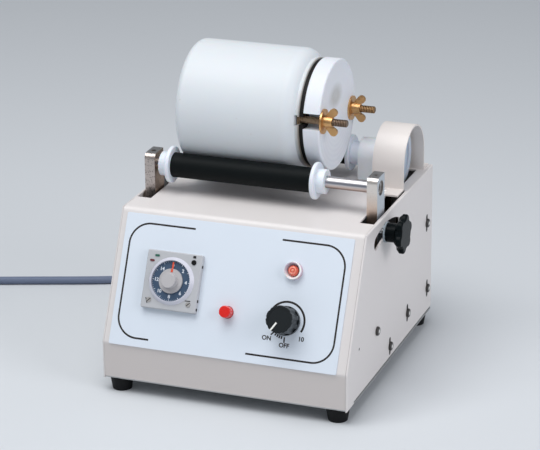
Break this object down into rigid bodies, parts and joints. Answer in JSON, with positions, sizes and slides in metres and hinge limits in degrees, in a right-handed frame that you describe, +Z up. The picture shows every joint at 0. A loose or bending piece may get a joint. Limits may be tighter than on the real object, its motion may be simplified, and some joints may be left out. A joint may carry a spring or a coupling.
{
  "type": "pot mill rotator",
  "caption": "Bench-top pot mill: a lidded porcelain pot turns on two rubber rollers above a sloped sheet-steel case with a timer, a reset button, a lamp and a speed knob.",
  "frame": {"origin": "on the table, below the middle of the bounding box of the stand without its lead", "axes": "+Z up, +X to the right of someone who faces the panel, +Y to the rear"},
  "size_m": [0.5629, 0.3302, 0.2646],
  "materials": {
    "case_paint": "light grey satin paint",
    "tray_steel": "zinc-plated steel sheet",
    "screw_steel": "nickel-plated screws",
    "screw_dark": "blackened steel",
    "foot_rubber": "matt black rubber",
    "label_plate": "pale blue printed panel film",
    "timer_plastic": "warm grey moulded plastic",
    "timer_ring": "light grey ring with a scale",
    "timer_dial": "blue-grey dial",
    "timer_knob": "warm grey knob",
    "timer_pointer": "red pointer",
    "timer_indicators": "small red and green lamps",
    "selector_plastic": "slotted grey selectors",
    "switch_black": "black switch body and collar",
    "button_red": "red button cap",
    "lamp_bezel": "pale translucent bezel",
    "lamp_lens": "orange-red lamp lens",
    "bright_steel": "turned bright steel",
    "arm_steel": "plated steel bar",
    "knob_black": "black moulded knob",
    "bush_plastic": "white acetal",
    "core_steel": "steel tube",
    "roller_rubber": "black rubber sleeve",
    "block_plastic": "white bearing block",
    "bearing_bronze": "sintered bronze",
    "pulley_plastic": "bluish white plastic",
    "cover_steel": "light grey painted strap",
    "belt_rubber": "round rubber belt",
    "motor_paint": "dark grey paint",
    "board_resin": "green circuit board with its components",
    "porcelain": "white glazed porcelain",
    "gasket_rubber": "dark rubber ring",
    "bolt_brass": "turned brass",
    "cord_jacket": "blue-grey flexible jacket",
    "cord_plastic": "dark moulded plastic"
  },
  "bodies": {
    "case": {"case_cover": "case_paint", "left_side_plate": "case_paint", "right_side_plate": "case_paint", "base_tray": "tray_steel", "back_panel": "case_paint", "case_screws": "screw_steel", "rubber_feet": "foot_rubber", "face_plate": "label_plate", "timer_case": "timer_plastic", "timer_dial_ring": "timer_ring", "timer_dial_face": "timer_dial", "timer_indicators": "timer_indicators", "reset_switch": "switch_black", "lamp_bezel": "lamp_bezel", "lamp_lens": "lamp_lens", "speed_control": "bright_steel", "pivot_bushes": "bush_plastic", "bearing_blocks": "block_plastic", "rear_bearings": "bearing_bronze", "belt_cover": "cover_steel", "drive_belt": "belt_rubber", "gear_motor": "motor_paint", "motor_bracket": "tray_steel", "control_board": "board_resin", "cord_gland": "cord_plastic", "cord_lead": "cord_jacket", "cord_coil": "cord_jacket", "plug": "cord_plastic"},
    "swing_arms": {"left_arm": "arm_steel", "right_arm": "arm_steel", "pivot_shaft": "bright_steel", "front_axle": "bright_steel", "arm_grub_screws": "screw_dark", "clamp_stud": "bright_steel", "clamp_washer": "bright_steel"},
    "front_roller": {"front_roller_core": "core_steel", "front_roller_rubber": "roller_rubber", "front_roller_bushes": "bush_plastic"},
    "clamp_knob": {"clamp_knob": "knob_black"},
    "rear_roller": {"rear_axle": "bright_steel", "rear_roller_core": "core_steel", "rear_roller_rubber": "roller_rubber", "rear_roller_bushes": "bush_plastic", "driven_pulley": "pulley_plastic"},
    "motor_pulley": {"motor_pulley": "pulley_plastic"},
    "pot": {"pot": "porcelain", "gasket": "gasket_rubber", "lid": "porcelain", "pot_bolts": "bolt_brass"},
    "front_washer": {"front_washer": "bolt_brass"},
    "front_wing_nut": {"front_wing_nut": "bolt_brass"},
    "rear_washer": {"rear_washer": "bolt_brass"},
    "rear_wing_nut": {"rear_wing_nut": "bolt_brass"},
    "speed_knob": {"speed_knob": "knob_black"},
    "timer_knob": {"timer_knob": "timer_knob", "timer_pointer": "timer_pointer"},
    "mode_selector": {"mode_selector": "selector_plastic"},
    "unit_selector": {"unit_selector": "selector_plastic"},
    "range_selector": {"range_selector": "selector_plastic"},
    "reset_button": {"reset_button": "button_red"}
  },
  "joints": [
    {"name": "arm_swing", "type": "hinge", "parent": "case", "child": "swing_arms", "pos_m": [-0.00885, -0.01498, 0.0483], "axis": [1, 0, 0], "range_deg": [0, 7]},
    {"name": "front_roller_spin", "type": "hinge", "parent": "swing_arms", "child": "front_roller", "pos_m": [-0.00885, -0.01498, 0.169], "axis": [1, 0, 0], "continuous": true},
    {"name": "clamp_turn", "type": "hinge", "parent": "swing_arms", "child": "clamp_knob", "pos_m": [0.0974, -0.01498, 0.1315], "axis": [1, 0, 0], "range_deg": [0, 360]},
    {"name": "rear_roller_spin", "type": "hinge", "parent": "case", "child": "rear_roller", "pos_m": [-0.00885, 0.07512, 0.1644], "axis": [1, 0, 0], "continuous": true},
    {"name": "motor_pulley_spin", "type": "hinge", "parent": "case", "child": "motor_pulley", "pos_m": [0.079, 0.05273, 0.0525], "axis": [1, 0, 0], "continuous": true},
    {"name": "pot_spin", "type": "hinge", "parent": "case", "child": "pot", "pos_m": [-0.08565, 0.03236, 0.21162], "axis": [1, 0, 0], "continuous": true},
    {"name": "front_nut_travel", "type": "slide", "parent": "pot", "child": "front_washer", "axis": [1, 0, 0], "range_m": [0, 0.003]},
    {"name": "front_nut_turn", "type": "hinge", "parent": "front_washer", "child": "front_wing_nut", "pos_m": [0.03975, -0.00378, 0.2167], "axis": [1, 0, 0], "range_deg": [0, 1080]},
    {"name": "rear_nut_travel", "type": "slide", "parent": "pot", "child": "rear_washer", "axis": [1, 0, 0], "range_m": [0, 0.003]},
    {"name": "rear_nut_turn", "type": "hinge", "parent": "rear_washer", "child": "rear_wing_nut", "pos_m": [0.03975, 0.06851, 0.20654], "axis": [1, 0, 0], "range_deg": [0, 1080]},
    {"name": "speed_knob_turn", "type": "hinge", "parent": "case", "child": "speed_knob", "pos_m": [0.04065, -0.09706, 0.0777], "axis": [0, -0.9002, 0.4354], "range_deg": [-260, 38]},
    {"name": "timer_knob_turn", "type": "hinge", "parent": "case", "child": "timer_knob", "pos_m": [-0.06005, -0.08861, 0.09516], "axis": [0, -0.9002, 0.4354], "range_deg": [-150, 150]},
    {"name": "mode_selector_turn", "type": "hinge", "parent": "case", "child": "mode_selector", "pos_m": [-0.04285, -0.08112, 0.11064], "axis": [0, -0.9002, 0.4354], "range_deg": [-135, 135]},
    {"name": "unit_selector_turn", "type": "hinge", "parent": "case", "child": "unit_selector", "pos_m": [-0.07725, -0.0961, 0.07968], "axis": [0, -0.9002, 0.4354], "range_deg": [-135, 135]},
    {"name": "range_selector_turn", "type": "hinge", "parent": "case", "child": "range_selector", "pos_m": [-0.04285, -0.0961, 0.07968], "axis": [0, -0.9002, 0.4354], "range_deg": [-135, 135]},
    {"name": "reset_press", "type": "slide", "parent": "case", "child": "reset_button", "axis": [0, 0.9002, -0.4354], "range_m": [0, 0.0025], "stiffness_N_per_m": 600, "springref_m": -0.001}
  ],
  "couplings": [
    {"joint": "front_roller_spin", "follows": "pot_spin", "ratio": -5.0962},
    {"joint": "rear_roller_spin", "follows": "pot_spin", "ratio": -5.0962},
    {"joint": "motor_pulley_spin", "follows": "pot_spin", "ratio": -9.753},
    {"joint": "front_nut_turn", "follows": "front_nut_travel", "rad_per_m": 6283.2},
    {"joint": "rear_nut_turn", "follows": "rear_nut_travel", "rad_per_m": 6283.2}
  ]
}
